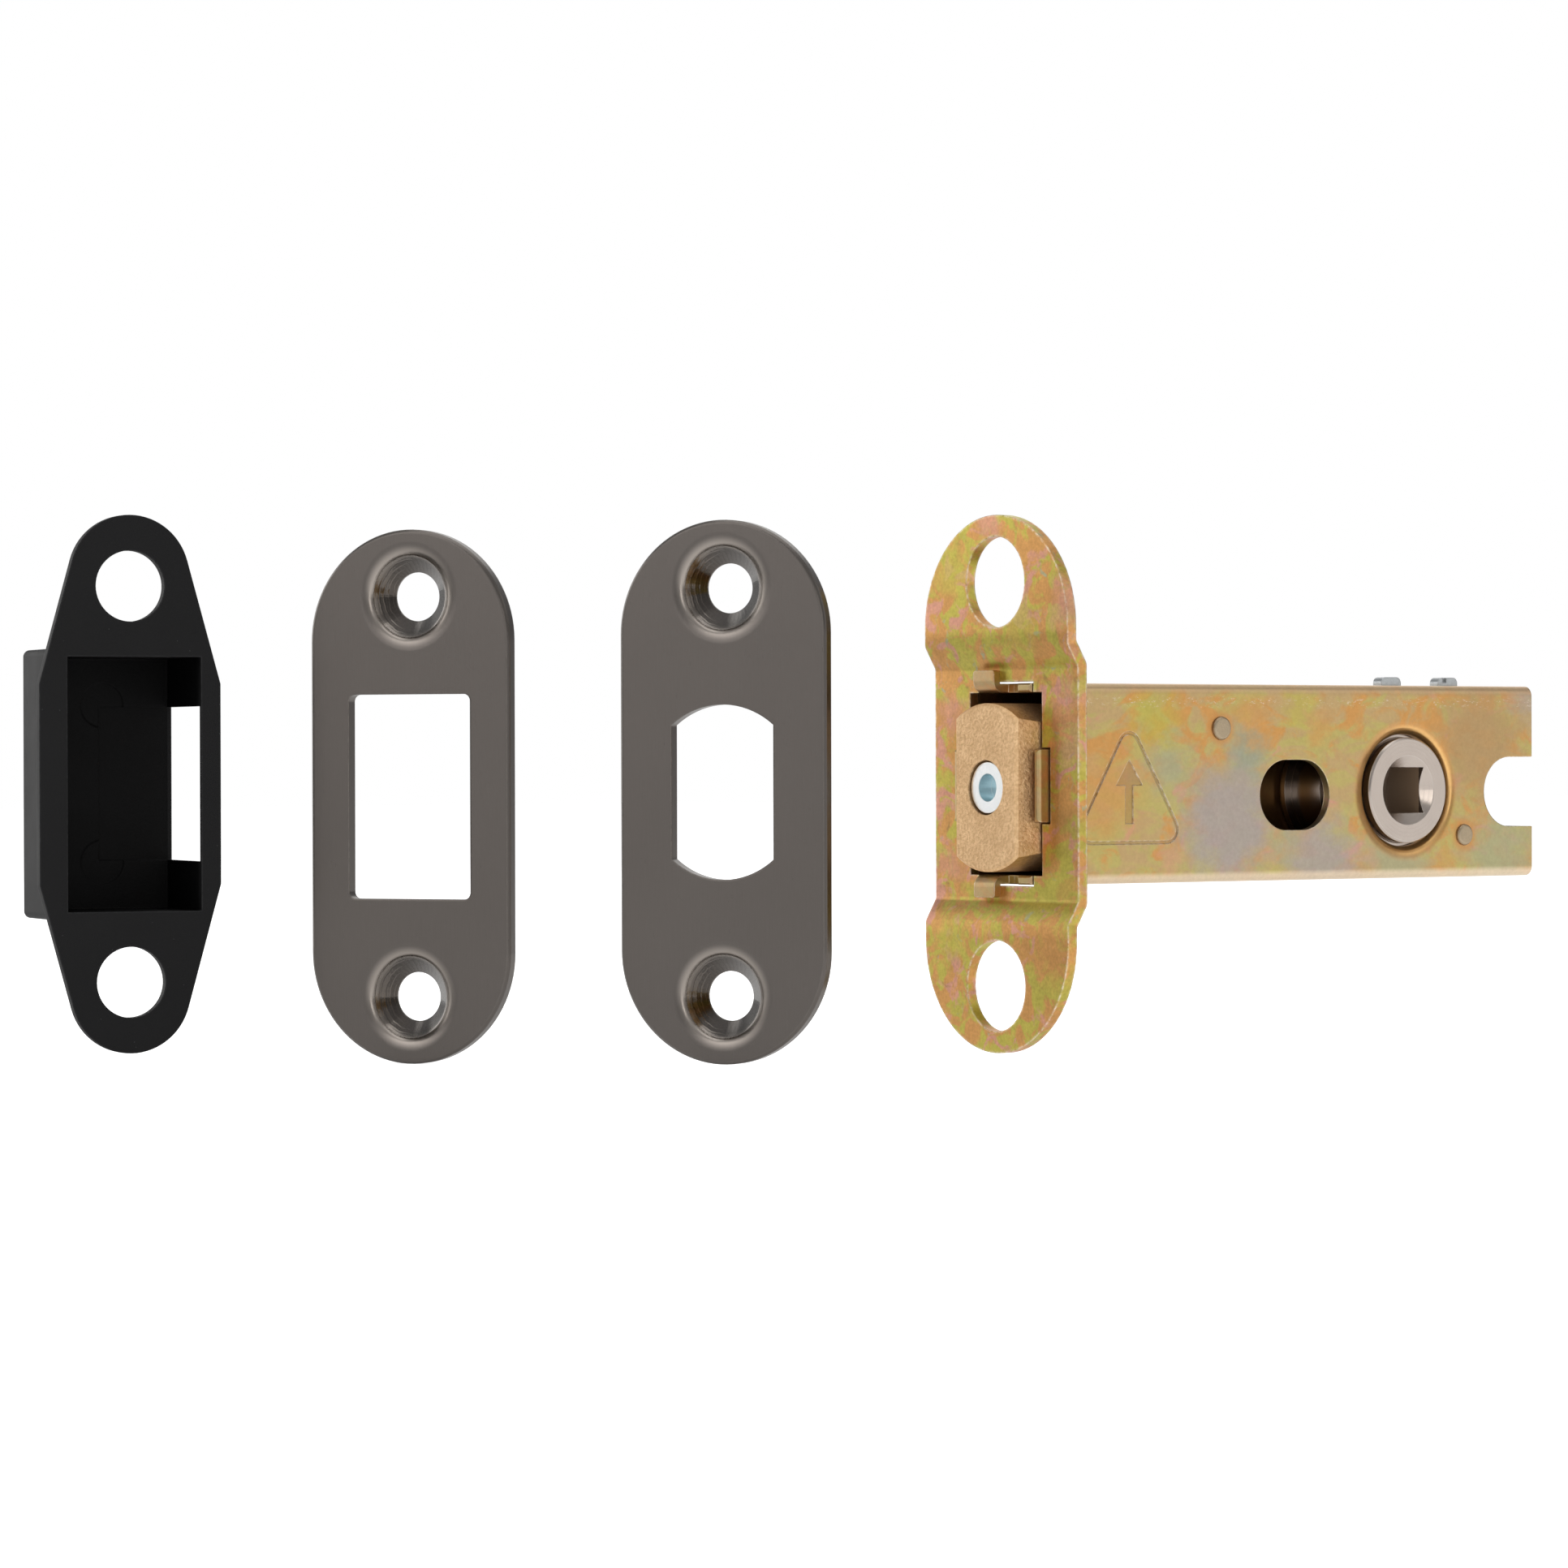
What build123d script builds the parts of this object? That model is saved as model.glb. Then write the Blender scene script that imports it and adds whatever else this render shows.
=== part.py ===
from build123d import *
import math
import os

# A tubular mortice deadbolt with its cover plate, strike plate and dust box.
# Frame: the origin is the middle of the forend, in the front plane of its ears. +X runs into the door
# along the bolt, +Z runs up along the forend, and -Y is the side of the case that carries the arrow.
# The three loose pieces stand upright in front of the case. Each one is drawn with the middle of its
# front face at the origin and +X behind it, and is then put in its place.

# Plates
plate_height = 60.0
plate_width = 25.0
cover_thickness = 1.5
plate_edge_bevel = 0.3
screw_end_distance = 7.5
screw_hole_radius = 2.75
countersink_radius = 4.7
countersink_depth = 2.2
countersink_mouth_round = 0.9
screw_hole_land = 0.3
collar_wall = 1.2

# Bolt
bolt_crown_gap = 0.8
bolt_side_gap = 0.55
bolt_nose_taper = 0.6
bolt_nose_flare = 3.1
bolt_nose_bevel = 0.3
bolt_length = 26.0
bolt_drop = 0.4
bolt_throw = 12.5

# Tubular pin let into the nose of the bolt
insert_radius = 2.85
insert_bore_radius = 1.55
insert_bore_depth = 1.8
insert_length = 12.0
insert_recess = 0.35
insert_gap = 0.22

# Cover plate aperture round the bolt
cover_gap = 0.25

# Strike plate aperture
strike_thickness = 1.5
strike_half_width = 7.65
strike_half_height = 11.5
strike_corner_radius = 0.8

# Forend
forend_thickness = 1.25
forend_recess = 1.5
forend_crease_gap = 1.75
forend_joggle_run = 2.5
forend_crease_radius = 0.9
ear_hole_radius = 5.1
forend_slack = 0.35
tongue_slack = 0.2

# Case
case_behind_follower = 20.75
case_half_width = 7.5
case_half_height = 11.2
case_wall = 1.0
case_bend_radius = 1.15
case_rear_bevel = 0.25

# Tongues of the case that pass through the forend
side_tongue_height = 8.05
side_tongue_drop = 0.2
side_tongue_reach = 1.45
side_tongue_round = 0.42
stub_width = 2.4
stub_offset = 3.3
stub_reach = 0.15
stub_round = 0.22
hook_width = 3.6
hook_offset = 2.8
hook_height = 2.5
hook_thickness = 0.9
hook_bend_radius = 1.35
hook_corner_radius = 0.35

# Fixings through the case
backset = 57.0
follower_drop = 0.98
fixing_slot_ahead = 17.35
fixing_slot_length = 10.75
fixing_slot_radius = 4.03
fixing_slot_drop = 1.42
notch_depth = 8.1
notch_radius = 4.1
notch_drop = 1.23
notch_corner_radius = 0.45
front_rivet_behind = 24.15
front_rivet_below_roof = 4.0
front_rivet_radius = 1.3
rear_rivet_behind = 9.4
rear_rivet_above_floor = 3.95
rear_rivet_radius = 1.2
rivet_head = 0.4
rivet_head_bevel = 0.2

# Follower
hub_radius = 6.15
hub_proud = 0.5
hub_gap = 0.35
hub_lip_round = 0.8
hub_edge_bevel = 0.22
hub_flange_radius = 7.2
hub_flange_thickness = 0.9
hub_side_gap = 0.2
hub_waist_radius = 5.2
hub_flat_distance = 5.4
spindle_square = 5.3
spindle_cone_radius = 4.05
spindle_cone_floor = 2.65
spindle_cone_depth = 1.05
crank_turn = 90.0
crank_thickness = 1.4
crank_tip_radius = 1.9
crank_root_radius = 4.2
drive_pin_radius = 1.0
drive_pin_overrun = 0.4
running_gap = 0.3
crank_lost_motion = 0.55

# Bolt tail
tail_thickness = 1.2
tail_middle = -0.4
tail_tongue_length = 12.5
tail_tongue_half_height = 6.0
tail_flange_thickness = 0.85
tail_flange_width = 6.0
tail_rail = 2.8
tail_rail_end_gap = 3.5
tail_jaw = 2.4
tail_slot_gap = 0.05
tail_window_front_gap = 0.6
tail_rivet_radius = 1.5
tail_rivet_back = 6.5

# Detent spring and its holder under the roof of the case
holder_thickness = 1.0
holder_overhang = 1.0
holder_tab_length = 3.1
holder_tab_width = 1.4
holder_tab_height = 1.0
holder_tab_round = 0.7
holder_front_tab_behind = 0.2
holder_rear_tab_behind = 9.3
holder_nick_start = 0.75
holder_nick_width = 0.6
holder_nick_floor = 0.4
spring_thickness = 0.35
spring_bend_radius = 1.45
spring_hairpin_radius = 1.3
spring_reach = 4.0
spring_tip_lift = 0.9
spring_side_inset = 0.1

# Arrow in a rounded triangle, pressed into the side of the case
mark_behind = 10.45
mark_half_base = 8.55
mark_height = 14.25
mark_base_z = -6.8
mark_corner_radius = 1.7
mark_line = 0.36
mark_depth = 0.14
arrow_foot = 2.3
arrow_height = 7.2
arrow_head = 2.9
arrow_head_half_width = 1.95
arrow_stem = 1.15

# Dust box
dust_end_radius = 6.85
dust_half_width = 10.42
dust_waist_half_height = 11.2
dust_flange_thickness = 1.2
dust_hole_radius = 3.95
dust_hole_end_distance = 7.93
dust_inner_half_width = 7.7
dust_inner_half_height = 14.2
dust_inner_depth = 13.5
dust_wall = 0.95
dust_floor = 1.2
dust_side_radius = 0.8
dust_rear_bevel = 0.7
dust_body_shift = 0.12
dust_hollow_shift = 0.47
dust_window_start = 0.6
dust_window_length = 13.3
dust_window_half_height = 8.7
ejector_radius = 2.5
ejector_height = 8.9
ejector_depth = 0.12

# Places of the loose pieces: the middle of the front face and the turn about Z in degrees
cover_x = -28.96
cover_y = 12.12
cover_z = -0.78
cover_turn = 28.34
strike_x = -49.57
strike_y = 43.26
strike_z = -1.26
strike_turn = 29.1
dust_x = -77.01
dust_y = 57.83
dust_z = 0.26
dust_turn = 75.3

# How far a cutting shape runs past what it cuts, how near two places count as one, and the flats round
# a quarter of a mouth
overrun = 1.0
same_place = 0.01
mouth_flats = 4

# Places worked out from the sizes
screw_pitch = plate_height - 2 * screw_end_distance
dust_hole_pitch = plate_height - 2 * dust_hole_end_distance
nose_x = -cover_thickness
forend_front = forend_recess
forend_rear = forend_recess + forend_thickness
forend_crease_inner = case_half_height + forend_crease_gap
forend_crease_outer = forend_crease_inner + forend_joggle_run
inner_half_width = case_half_width - case_wall
inner_half_height = case_half_height - case_wall
bolt_radius = inner_half_height - bolt_crown_gap
bolt_half_width = inner_half_width - bolt_side_gap
bolt_nose_half_width = bolt_half_width - bolt_nose_taper
follower_x = backset - cover_thickness
follower_z = -follower_drop
case_end = follower_x + case_behind_follower
fixing_slot_middle = follower_x - fixing_slot_ahead
front_rivet_x = forend_rear + front_rivet_behind
front_rivet_z = inner_half_height - front_rivet_below_roof
rear_rivet_x = follower_x + rear_rivet_behind
rear_rivet_z = rear_rivet_above_floor - inner_half_height
hub_flange_outer = inner_half_width - hub_side_gap
hub_flange_inner = hub_flange_outer - hub_flange_thickness
holder_front_tab = follower_x + holder_front_tab_behind
holder_rear_tab = follower_x + holder_rear_tab_behind
mark_x = forend_rear + mark_behind
crank_radius = bolt_throw / (2 * math.sin(math.radians(crank_turn / 2)))
crank_offset_x = bolt_throw / 2
crank_offset_z = crank_radius * math.cos(math.radians(crank_turn / 2))
bolt_rear = nose_x + bolt_length
tail_near = tail_middle - tail_thickness / 2
tail_far = tail_middle + tail_thickness / 2
crank_far = tail_near - running_gap
crank_near = crank_far - crank_thickness
holder_far = crank_near - running_gap
holder_near = -hub_flange_inner


def bar_along_y(radius, y_from, y_to, x, z):
    middle = (y_from + y_to) / 2
    return Pos(x, middle, z) * Rot(90, 0, 0) * Cylinder(radius, y_to - y_from)


def block(x_from, x_to, y_from, y_to, z_from, z_to):
    size = (x_to - x_from, y_to - y_from, z_to - z_from)
    return Pos(x_from, y_from, z_from) * Box(*size, align=(Align.MIN, Align.MIN, Align.MIN))


def side_profile(face, y_from, y_to):
    # A face drawn in the XZ plane, given its thickness from one y to another
    return Pos(0, y_to, 0) * extrude(Plane.XZ * face, amount=y_to - y_from)


def double_d(radius, half_width):
    return Circle(radius) & Rectangle(2 * half_width, 2 * radius)


def stadium(depth):
    return extrude(Plane.YZ * SlotOverall(plate_height, plate_width, rotation=90), amount=depth)


def turned(profile, z):
    # A half profile in x and radius, turned about the line along X at height z
    return Pos(0, 0, z) * revolve(Plane.XZ * Polygon(*profile, align=None), axis=Axis.X)


def rounded_mouth(end_radius, round_radius, turn):
    # Depths and radii of a hole's rounded edge, from the flat face down to a wall at that turn from it
    flats = math.ceil(mouth_flats * turn / 90)
    steps = [math.radians(turn * step / flats) for step in range(flats + 1)]
    wide = end_radius + round_radius * math.sin(steps[-1])
    return [(round_radius * (1 - math.cos(a)), wide - round_radius * math.sin(a)) for a in steps]


def countersunk_plate(thickness):
    plate = stadium(thickness)
    plate = chamfer(plate.faces().sort_by(Axis.X)[0].edges(), plate_edge_bevel)
    collar_end = countersink_depth + screw_hole_land
    collar_radius = screw_hole_radius + collar_wall
    collar = [
        (thickness / 2, 0),
        (thickness / 2, collar_radius),
        (collar_end, collar_radius),
        (collar_end, 0),
    ]
    spread = countersink_radius - screw_hole_radius
    cone_turn = math.atan2(countersink_depth, spread)
    mouth_depth = countersink_mouth_round * (1 - math.cos(cone_turn))
    mouth_radius = countersink_radius - spread * mouth_depth / countersink_depth
    mouth = rounded_mouth(mouth_radius, countersink_mouth_round, math.degrees(cone_turn))
    sink = [(-overrun, 0), (-overrun, mouth[0][1])] + mouth + [
        (countersink_depth, screw_hole_radius),
        (collar_end + overrun, screw_hole_radius),
        (collar_end + overrun, 0),
    ]
    for z in (-screw_pitch / 2, screw_pitch / 2):
        plate = plate + turned(collar, z) - turned(sink, z)
    return plate


def make_face_plate():
    opening = double_d(bolt_radius + cover_gap, bolt_half_width + cover_gap)
    return countersunk_plate(cover_thickness) - extrude(Plane.YZ * opening, amount=cover_thickness)


def make_strike_plate():
    opening = RectangleRounded(2 * strike_half_width, 2 * strike_half_height, strike_corner_radius)
    return countersunk_plate(strike_thickness) - extrude(Plane.YZ * opening, amount=strike_thickness)


def make_dust_box():
    end_z = plate_height / 2 - dust_end_radius
    waist = Rectangle(2 * dust_half_width, 2 * dust_waist_half_height)
    upper_end = Pos(0, end_z) * Circle(dust_end_radius)
    lower_end = Pos(0, -end_z) * Circle(dust_end_radius)
    outline = make_hull(waist.edges() + upper_end.edges() + lower_end.edges())
    flange = extrude(Plane.YZ * outline, amount=dust_flange_thickness)
    outer_y = dust_inner_half_width + dust_wall
    outer_z = dust_inner_half_height + dust_wall
    rear = dust_inner_depth + dust_floor
    body = block(0, rear, -outer_y, outer_y, -outer_z, outer_z)
    body = fillet(body.edges().filter_by(Axis.X), dust_side_radius)
    body = chamfer(body.faces().sort_by(Axis.X)[-1].edges(), dust_rear_bevel)
    hollow = block(-overrun, dust_inner_depth, -dust_inner_half_width, dust_inner_half_width,
                   -dust_inner_half_height, dust_inner_half_height)
    window = block(dust_window_start, dust_window_start + dust_window_length,
                   -outer_y, 0, -dust_window_half_height, dust_window_half_height)
    inside = Pos(0, -dust_hollow_shift, 0)
    side = Pos(0, -dust_body_shift, 0)
    box = flange + side * body - inside * hollow - side * window
    for end in (-1, 1):
        hole_z = end * dust_hole_pitch / 2
        box -= Pos(0, 0, hole_z) * extrude(Plane.YZ * Circle(dust_hole_radius), amount=dust_flange_thickness)
        dimple = Plane.YZ.offset(dust_inner_depth) * Pos(0, end * ejector_height) * Circle(ejector_radius)
        box -= inside * extrude(dimple, amount=ejector_depth)
    return box


def make_forend_plate():
    high = plate_height / 2 + overrun
    slope = math.atan2(forend_recess, forend_crease_outer - forend_crease_inner)
    lift = forend_thickness * math.tan(slope / 2)
    front = [(0, high), (0, forend_crease_outer), (forend_front, forend_crease_inner)]
    back = [(forend_rear, forend_crease_inner + lift), (forend_thickness, forend_crease_outer + lift),
            (forend_thickness, high)]
    points = front + [(x, -z) for x, z in reversed(front)] + [(x, -z) for x, z in reversed(back)] + back
    section = Polygon(*points, align=None)
    creases = section.vertices().filter_by(lambda v: abs(v.Y) < high - same_place)
    strip = side_profile(fillet(creases, forend_crease_radius), -plate_width, plate_width)
    plate = strip & stadium(forend_rear)
    half_y = bolt_half_width + forend_slack
    aperture = Rectangle(2 * half_y, 2 * inner_half_height)
    notch_y = hook_offset + hook_width / 2 + tongue_slack
    notch_z = case_half_height + tongue_slack
    aperture += Rectangle(2 * notch_y, 2 * notch_z)
    side_y = case_half_width + tongue_slack
    side_z = side_tongue_height / 2 + tongue_slack
    aperture += Pos(0, -side_tongue_drop) * Rectangle(2 * side_y, 2 * side_z)
    holes = [Pos(0, side * screw_pitch / 2) * Circle(ear_hole_radius) for side in (-1, 1)]
    for cut in [aperture] + holes:
        plate -= extrude(Plane.YZ * cut, amount=forend_rear)
    return plate


def folded_block(end, half_y, half_z, bend_radius):
    # A block on the -Y side whose long edges have the radius of a folded sheet
    folded = block(forend_rear, end, -half_y, 0, -half_z, half_z)
    return fillet(folded.edges().filter_by(Axis.X).group_by(Axis.Y)[0], bend_radius)


def shell_blank():
    # Half of the case: side, roof, floor and rear, folded from one sheet
    outside = folded_block(case_end, case_half_width, case_half_height, case_bend_radius)
    rear_edges = outside.faces().sort_by(Axis.X)[-1].edges().filter_by(lambda e: e.center().Y < -same_place)
    outside = chamfer(rear_edges, case_rear_bevel)
    inside = folded_block(case_end - case_wall, inner_half_width, inner_half_height,
                          case_bend_radius - case_wall)
    return outside - inside


def notch_profile():
    # The open round notch, with the corners rounded where it leaves the rear edge
    middle = case_end - notch_depth + notch_radius
    notch = Pos(middle, -notch_drop) * Circle(notch_radius)
    notch += Pos(middle + notch_radius, -notch_drop) * Rectangle(2 * notch_radius, 2 * notch_radius)
    rear_part = Pos(case_end, 0) * Rectangle(2 * notch_depth, 2 * case_half_height,
                                             align=(Align.MAX, Align.CENTER))
    kept = rear_part - notch
    corners = kept.vertices().filter_by(
        lambda v: abs(v.X - case_end) < same_place and abs(v.Y) < case_half_height - same_place)
    kept = fillet(corners, notch_corner_radius)
    around = rear_part + Pos(case_end, 0) * Rectangle(overrun, 2 * case_half_height,
                                                      align=(Align.MIN, Align.CENTER))
    return around - kept


def shell_cuts():
    # Holes that both halves of the case have
    reach = 2 * case_half_width
    straight = fixing_slot_length - 2 * fixing_slot_radius
    slot = Pos(fixing_slot_middle, -fixing_slot_drop) * SlotCenterToCenter(straight, 2 * fixing_slot_radius)
    cuts = side_profile(slot, -reach, 0) + side_profile(notch_profile(), -reach, 0)
    mouth = rounded_mouth(hub_radius + hub_gap, hub_lip_round, 90)
    hub_hole = [(-overrun, 0), (-overrun, mouth[0][1])] + mouth + [
        (case_half_width, hub_radius + hub_gap),
        (case_half_width, 0),
    ]
    cuts += Pos(follower_x, -case_half_width, follower_z) * Rot(0, 0, 90) * turned(hub_hole, 0)
    cuts += bar_along_y(front_rivet_radius, -reach, 0, front_rivet_x, front_rivet_z)
    cuts += bar_along_y(rear_rivet_radius, -reach, 0, rear_rivet_x, rear_rivet_z)
    return cuts


def side_tongue():
    tongue = block(forend_front - side_tongue_reach, forend_rear, -case_half_width, -inner_half_width,
                   -side_tongue_height / 2, side_tongue_height / 2)
    front_edges = tongue.faces().sort_by(Axis.X)[0].edges()
    return Pos(0, 0, -side_tongue_drop) * fillet(front_edges, side_tongue_round)


def half_shell():
    return shell_blank() - shell_cuts() + side_tongue()


def mark_cuts():
    # A rounded triangle and an upright arrow, each a shallow pressed line
    top_z = mark_base_z + mark_height
    corners = [(mark_x - mark_half_base, mark_base_z), (mark_x + mark_half_base, mark_base_z),
               (mark_x, top_z)]
    outer = Polygon(*corners, align=None)
    outer = fillet(outer.vertices(), mark_corner_radius)
    ring = outer - offset(outer, amount=-mark_line)
    foot = mark_base_z + arrow_foot
    neck = foot + arrow_height - arrow_head
    arrow = Polygon((mark_x - arrow_stem / 2, foot), (mark_x + arrow_stem / 2, foot),
                    (mark_x + arrow_stem / 2, neck), (mark_x + arrow_head_half_width, neck),
                    (mark_x, foot + arrow_height), (mark_x - arrow_head_half_width, neck),
                    (mark_x - arrow_stem / 2, neck), align=None)
    return side_profile(ring + arrow, -case_half_width, -case_half_width + mark_depth)


def holder_tabs():
    tabs = []
    middle = (holder_near + holder_far) / 2
    for x in (holder_front_tab, holder_rear_tab):
        tab = block(x - holder_tab_length / 2, x + holder_tab_length / 2,
                    middle - holder_tab_width / 2, middle + holder_tab_width / 2,
                    inner_half_height - holder_thickness / 2, case_half_height + holder_tab_height)
        tabs.append(fillet(tab.faces().sort_by(Axis.Z)[-1].edges().filter_by(Axis.Y), holder_tab_round))
    return tabs


def make_case_right_shell():
    shell = half_shell() - mark_cuts()
    for tab in holder_tabs():
        shell -= tab
    for side in (-1, 1):
        z_from, z_to = sorted((side * inner_half_height, side * case_half_height))
        stub = block(forend_front - stub_reach, forend_rear, -stub_offset - stub_width / 2,
                     -stub_offset + stub_width / 2, z_from, z_to)
        stub = chamfer(stub.faces().sort_by(Axis.X)[0].edges(), stub_round)
        shell += stub
    return shell


def hook(side):
    # A tongue of the roof or floor, bent flat against the front of the forend
    front = forend_front - hook_thickness
    foot = inner_half_height
    top = foot + hook_height
    ell = Polygon((forend_rear, foot), (forend_rear, case_half_height), (forend_front, case_half_height),
                  (forend_front, top), (front, top), (front, foot), align=None)
    heel = ell.vertices().sort_by(lambda v: v.X + v.Y)[0]
    ell = fillet(heel, hook_bend_radius)
    tongue = side_profile(ell, hook_offset - hook_width / 2, hook_offset + hook_width / 2)
    end_corners = tongue.faces().sort_by(Axis.Z)[-1].edges().filter_by(Axis.X)
    tongue = fillet(end_corners, hook_corner_radius)
    return tongue if side > 0 else mirror(tongue, about=Plane.XY)


def make_case_left_shell():
    shell = mirror(half_shell(), about=Plane.XZ)
    return shell + hook(1) + hook(-1)


def make_bolt_head():
    nose_taper = Polygon((nose_x, -bolt_nose_half_width), (nose_x + bolt_nose_flare, -bolt_half_width),
                         (bolt_rear, -bolt_half_width), (bolt_rear, bolt_half_width),
                         (nose_x + bolt_nose_flare, bolt_half_width), (nose_x, bolt_nose_half_width),
                         align=None)
    prism = Pos(0, 0, -bolt_radius) * extrude(nose_taper, amount=2 * bolt_radius)
    round_bar = Pos(nose_x, 0, 0) * extrude(Plane.YZ * Circle(bolt_radius), amount=bolt_length)
    head = round_bar & prism
    head = chamfer(head.faces().sort_by(Axis.X)[0].edges(), bolt_nose_bevel)
    head -= Pos(nose_x, 0, 0) * extrude(Plane.YZ * Circle(insert_radius + insert_gap),
                                        amount=insert_recess + insert_length)
    head -= block(bolt_rear - tail_tongue_length, bolt_rear, tail_near - tail_slot_gap,
                  tail_far + tail_slot_gap, -bolt_radius, bolt_radius)
    head -= bar_along_y(tail_rivet_radius, -bolt_half_width, bolt_half_width, bolt_rear - tail_rivet_back, 0)
    return Pos(0, 0, -bolt_drop) * head


def make_bolt_insert():
    pin = extrude(Plane.YZ * Circle(insert_radius), amount=insert_length)
    pin -= extrude(Plane.YZ * Circle(insert_bore_radius), amount=insert_bore_depth)
    return Pos(nose_x + insert_recess, 0, -bolt_drop) * pin


def make_tail_rivet():
    return bar_along_y(tail_rivet_radius, -bolt_half_width, bolt_half_width, bolt_rear - tail_rivet_back,
                       -bolt_drop)


def tail_web():
    flange_top = inner_half_height - running_gap
    web_top = flange_top - tail_flange_thickness
    web_front = bolt_rear + running_gap
    rivet_run = front_rivet_radius + running_gap
    pin_x = follower_x + crank_offset_x
    slot_half = drive_pin_radius + crank_lost_motion
    web_end = pin_x + slot_half + tail_jaw
    window_top = follower_z + hub_waist_radius + running_gap
    window_low = follower_z - hub_waist_radius - running_gap
    window_half = (window_top - window_low) / 2
    window_x = fixing_slot_middle - fixing_slot_length / 2 + window_half - tail_window_front_gap
    rail_end = rear_rivet_x - rear_rivet_radius - tail_rail_end_gap

    web = Pos(web_front, window_low - tail_rail) * Rectangle(
        web_end - web_front, web_top - window_low + tail_rail, align=(Align.MIN, Align.MIN))
    tongue_front = bolt_rear - tail_tongue_length
    web += Pos(tongue_front, -bolt_drop) * Rectangle(
        web_front - tongue_front, 2 * tail_tongue_half_height, align=(Align.MIN, Align.CENTER))
    web -= Pos(window_x, follower_z) * Circle(window_half)
    web -= Pos(window_x, follower_z) * Rectangle(web_end, 2 * window_half, align=(Align.MIN, Align.CENTER))
    web -= Pos(rail_end, follower_z) * Rectangle(web_end, 4 * window_half, align=(Align.MIN, Align.MAX))
    rivet_slot = SlotCenterToCenter(bolt_throw, 2 * rivet_run)
    web -= Pos(front_rivet_x + bolt_throw / 2, front_rivet_z) * rivet_slot
    web -= Pos(pin_x, window_low) * Rectangle(
        2 * slot_half, web_top - window_low, align=(Align.CENTER, Align.MIN))
    web -= Pos(bolt_rear - tail_rivet_back, -bolt_drop) * Circle(tail_rivet_radius)
    return web, web_front, web_end, web_top, flange_top


def make_bolt_tail():
    web, front, end, web_top, flange_top = tail_web()
    tail = side_profile(web, tail_near, tail_far)
    tail += block(front, end, tail_near, tail_near + tail_flange_width, web_top, flange_top)
    return tail


def make_follower():
    outer = case_half_width + hub_proud
    hub = bar_along_y(hub_radius, -outer, outer, 0, 0)
    hub = chamfer(hub.edges().filter_by(GeomType.CIRCLE), hub_edge_bevel)
    for near, far in ((-hub_flange_outer, -hub_flange_inner), (hub_flange_inner, hub_flange_outer)):
        hub += bar_along_y(hub_flange_radius, near, far, 0, 0)
    waist_near = tail_near - running_gap
    waist_far = tail_far + running_gap
    hub -= (bar_along_y(hub_radius + overrun, waist_near, waist_far, 0, 0)
            - bar_along_y(hub_waist_radius, waist_near, waist_far, 0, 0))
    flats = bar_along_y(hub_radius + overrun, -hub_flange_inner, holder_far, 0, 0)
    flats -= block(-hub_flat_distance, hub_flat_distance, -hub_flange_inner, holder_far,
                   -hub_flat_distance, hub_flat_distance)
    hub -= flats

    root = Circle(crank_root_radius)
    tip = Pos(crank_offset_x, crank_offset_z) * Circle(crank_tip_radius)
    hub += side_profile(make_hull(root.edges() + tip.edges()), crank_near, crank_far)
    hub += bar_along_y(drive_pin_radius, crank_near, tail_far + drive_pin_overrun,
                       crank_offset_x, crank_offset_z)

    hub -= block(-spindle_square / 2, spindle_square / 2, -outer, outer,
                 -spindle_square / 2, spindle_square / 2)
    for side in (-1, 1):
        cone = Rot(90 * side, 0, 0) * Cone(spindle_cone_floor, spindle_cone_radius, spindle_cone_depth,
                                           align=(Align.CENTER, Align.CENTER, Align.MAX))
        hub -= Pos(0, -side * outer, 0) * cone
    return Pos(follower_x, 0, follower_z) * hub


def make_spring_holder():
    middle = (holder_near + holder_far) / 2
    front = holder_front_tab - holder_tab_length / 2 - holder_overhang
    rear = holder_rear_tab + holder_tab_length / 2 + holder_overhang
    holder = block(front, rear, holder_near, holder_far, inner_half_height - holder_thickness,
                   inner_half_height)
    for tab in holder_tabs():
        holder += tab
    nick_x = holder_rear_tab - holder_tab_length / 2 + holder_nick_start
    holder -= block(nick_x, nick_x + holder_nick_width, middle - holder_tab_width, middle + holder_tab_width,
                    case_half_height + holder_nick_floor, case_half_height + holder_tab_height + overrun)
    return holder


def make_detent_spring():
    top = inner_half_height - holder_thickness - spring_thickness / 2
    low = follower_z + hub_radius + running_gap + spring_thickness / 2
    front = holder_front_tab
    rear = holder_rear_tab + holder_tab_length / 2
    tip_x = follower_x - spring_reach
    path = FilletPolyline(
        (front, top), (rear, top), (rear, top - 2 * spring_bend_radius), (follower_x + hub_radius / 2, low),
        (tip_x, low), (tip_x - spring_tip_lift, low + spring_tip_lift),
        radius=[spring_hairpin_radius, spring_hairpin_radius, spring_bend_radius, spring_tip_lift])
    strip = trace(path, spring_thickness)
    return side_profile(strip, holder_near + spring_side_inset, holder_far - spring_side_inset)


def make_case_rivet(x, z, radius):
    reach = case_half_width + rivet_head
    rivet = bar_along_y(radius, -reach, reach, x, z)
    return chamfer(rivet.edges().filter_by(GeomType.CIRCLE), rivet_head_bevel)


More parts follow.
